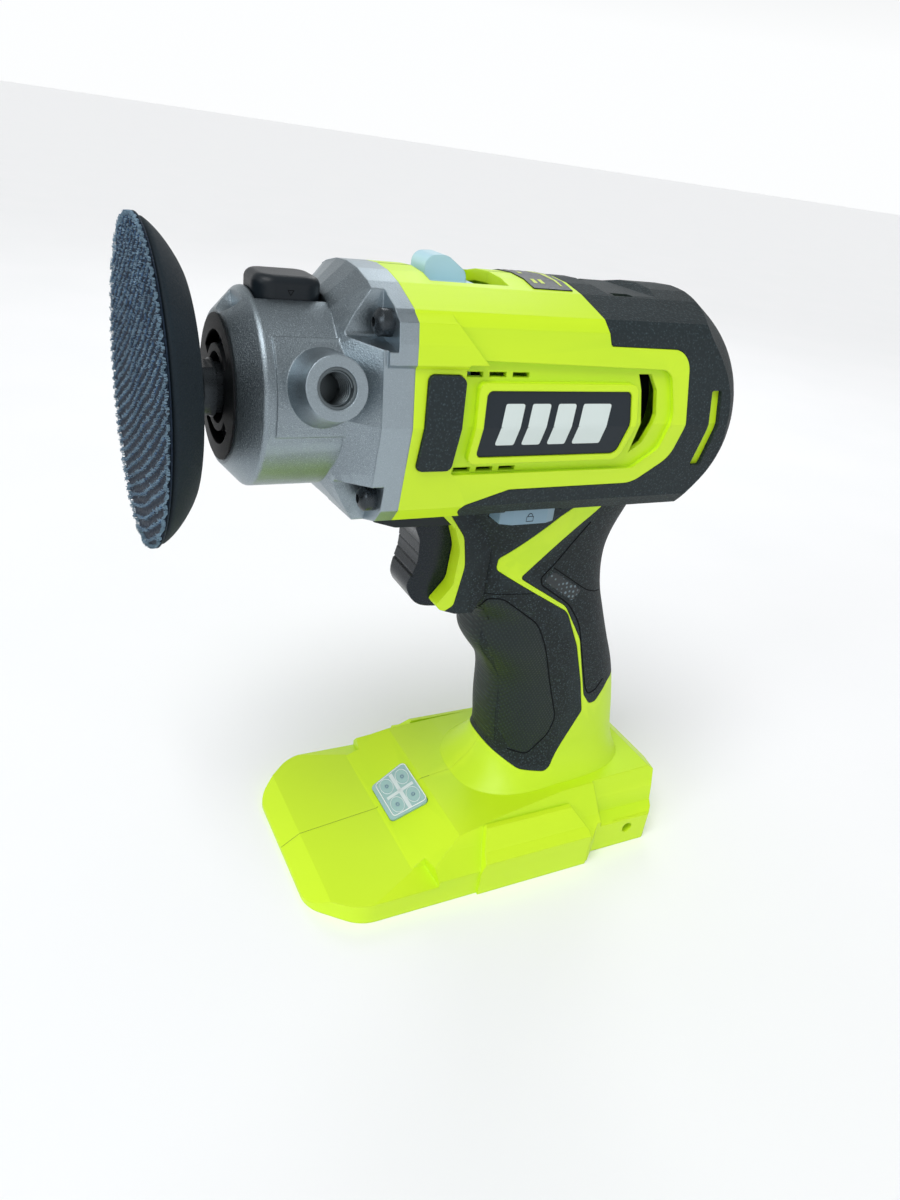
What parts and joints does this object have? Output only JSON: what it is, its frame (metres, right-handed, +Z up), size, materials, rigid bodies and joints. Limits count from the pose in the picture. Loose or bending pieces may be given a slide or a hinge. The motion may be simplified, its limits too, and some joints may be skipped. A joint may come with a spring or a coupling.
{
  "type": "rotary polisher",
  "caption": "Pistol-grip cordless rotary polisher with a small hook-faced pad, two-stage planetary gearbox, top speed selector, spindle lock and battery foot.",
  "frame": {"origin": "on the resting surface, under the middle of the tool's overall box", "axes": "the spindle lies along X and the pad faces -X, +Z is up, the tool's left side is -Y"},
  "size_m": [0.1836, 0.0792, 0.1962],
  "materials": {
    "lime": "moulded satin plastic",
    "rubber_dark": "fine grained soft overmould",
    "black_plastic": "satin",
    "grey_plastic": "smooth satin",
    "cast_aluminium": "fine bead-blasted casting",
    "steel": "turned",
    "black_steel": "black oxide",
    "foam_black": "closed-cell foam skin",
    "hook_black": "hook tape",
    "label_black": "gloss",
    "sintered": "sintered gear steel",
    "bronze": "sintered bronze",
    "copper": "enamelled copper",
    "magnet": "ferrite",
    "clear": "clear polycarbonate",
    "board_white": "white solder mask",
    "carbon": "carbon",
    "wire_red": "wire sleeve"
  },
  "bodies": {
    "housing": {"front_bearing_outer": "steel", "rear_bush": "bronze", "nose_cap": "black_steel", "gearcase": "cast_aluminium", "handle_insert_left": "steel", "handle_insert_right": "steel", "lock_spring": "steel", "gearcase_screws": "black_steel", "gear_housing": "grey_plastic", "ring_gear_fixed": "sintered", "motor_can": "steel", "motor_end_bell": "black_plastic", "motor_magnets": "magnet", "motor_brushes": "carbon", "speed_label": "label_black", "trigger_hood": "black_plastic", "switch_module": "black_plastic", "led_lens": "clear", "led_board": "board_white", "terminal_block": "black_plastic", "battery_terminals": "copper", "wiring": "wire_red", "body_screws": "black_steel", "left_housing": "lime", "right_housing": "lime", "left_overmould": "rubber_dark", "right_overmould": "rubber_dark", "left_rear_grip": "rubber_dark", "right_rear_grip": "rubber_dark", "left_bumper": "rubber_dark", "right_bumper": "rubber_dark", "label_plates": "label_black"},
    "spindle": {"hook_face": "hook_black", "pad_foam": "foam_black", "pad_hub": "black_plastic", "output_spindle": "black_steel", "lock_collar": "sintered", "output_carrier": "sintered", "front_bearing_inner": "steel"},
    "bearing_cage": {"front_bearing_balls": "steel"},
    "first_carrier": {"carrier_1": "sintered"},
    "rotor": {"motor_shaft": "steel", "motor_pinion": "sintered", "armature_core": "sintered", "armature_windings": "copper", "commutator": "copper", "motor_fan": "black_plastic"},
    "selector": {"speed_selector": "grey_plastic", "shift_fork": "steel", "ring_gear_sliding": "sintered"},
    "trigger": {"trigger": "black_plastic"},
    "lock_off": {"lock_off_button": "grey_plastic"},
    "spindle_lock": {"spindle_lock_button": "black_plastic", "lock_plunger": "steel"},
    "planet_1_1": {"planet_gear_1_1": "sintered"},
    "planet_1_2": {"planet_gear_1_2": "sintered"},
    "planet_1_3": {"planet_gear_1_3": "sintered"},
    "planet_2_1": {"planet_gear_2_1": "sintered"},
    "planet_2_2": {"planet_gear_2_2": "sintered"},
    "planet_2_3": {"planet_gear_2_3": "sintered"}
  },
  "joints": [
    {"name": "spindle_spin", "type": "hinge", "parent": "housing", "child": "spindle", "pos_m": [-0.06165, 0, 0.1582], "axis": [1, 0, 0], "continuous": true},
    {"name": "bearing_cage_spin", "type": "hinge", "parent": "housing", "child": "bearing_cage", "pos_m": [-0.07005, 0, 0.1582], "axis": [1, 0, 0], "continuous": true},
    {"name": "first_carrier_spin", "type": "hinge", "parent": "housing", "child": "first_carrier", "pos_m": [-0.02915, 0, 0.1582], "axis": [1, 0, 0], "continuous": true},
    {"name": "rotor_spin", "type": "hinge", "parent": "housing", "child": "rotor", "pos_m": [-0.00565, 0, 0.1582], "axis": [1, 0, 0], "continuous": true},
    {"name": "planet_1_1_spin", "type": "hinge", "parent": "first_carrier", "child": "planet_1_1", "pos_m": [-0.02405, 0.01215, 0.1582], "axis": [1, 0, 0], "continuous": true},
    {"name": "planet_1_2_spin", "type": "hinge", "parent": "first_carrier", "child": "planet_1_2", "pos_m": [-0.02405, -0.00607, 0.16872], "axis": [1, 0, 0], "continuous": true},
    {"name": "planet_1_3_spin", "type": "hinge", "parent": "first_carrier", "child": "planet_1_3", "pos_m": [-0.02405, -0.00607, 0.14768], "axis": [1, 0, 0], "continuous": true},
    {"name": "planet_2_1_spin", "type": "hinge", "parent": "spindle", "child": "planet_2_1", "pos_m": [-0.04125, 0.01365, 0.1582], "axis": [1, 0, 0], "continuous": true},
    {"name": "planet_2_2_spin", "type": "hinge", "parent": "spindle", "child": "planet_2_2", "pos_m": [-0.04125, -0.00683, 0.17002], "axis": [1, 0, 0], "continuous": true},
    {"name": "planet_2_3_spin", "type": "hinge", "parent": "spindle", "child": "planet_2_3", "pos_m": [-0.04125, -0.00683, 0.14638], "axis": [1, 0, 0], "continuous": true},
    {"name": "speed_select", "type": "slide", "parent": "housing", "child": "selector", "axis": [1, 0, 0], "range_m": [0, 0.006]},
    {"name": "trigger_pull", "type": "slide", "parent": "housing", "child": "trigger", "axis": [1, 0, 0], "range_m": [0, 0.006], "stiffness_N_per_m": 600, "springref_m": -0.005},
    {"name": "lock_off_slide", "type": "slide", "parent": "housing", "child": "lock_off", "axis": [0, 1, 0], "range_m": [0, 0.005]},
    {"name": "spindle_lock_press", "type": "slide", "parent": "housing", "child": "spindle_lock", "axis": [0, 0, -1], "range_m": [0, 0.004], "stiffness_N_per_m": 500, "springref_m": -0.005, "deforming": ["lock_spring"]}
  ],
  "couplings": [
    {"joint": "bearing_cage_spin", "follows": "spindle_spin", "ratio": 0.385},
    {"joint": "first_carrier_spin", "follows": "spindle_spin", "ratio": 2.7857},
    {"joint": "rotor_spin", "follows": "spindle_spin", "ratio": 8.3571},
    {"joint": "planet_1_1_spin", "follows": "spindle_spin", "ratio": -11.143},
    {"joint": "planet_1_2_spin", "follows": "spindle_spin", "ratio": -11.143},
    {"joint": "planet_1_3_spin", "follows": "spindle_spin", "ratio": -11.143},
    {"joint": "planet_2_1_spin", "follows": "spindle_spin", "ratio": -4.5455},
    {"joint": "planet_2_2_spin", "follows": "spindle_spin", "ratio": -4.5455},
    {"joint": "planet_2_3_spin", "follows": "spindle_spin", "ratio": -4.5455}
  ]
}
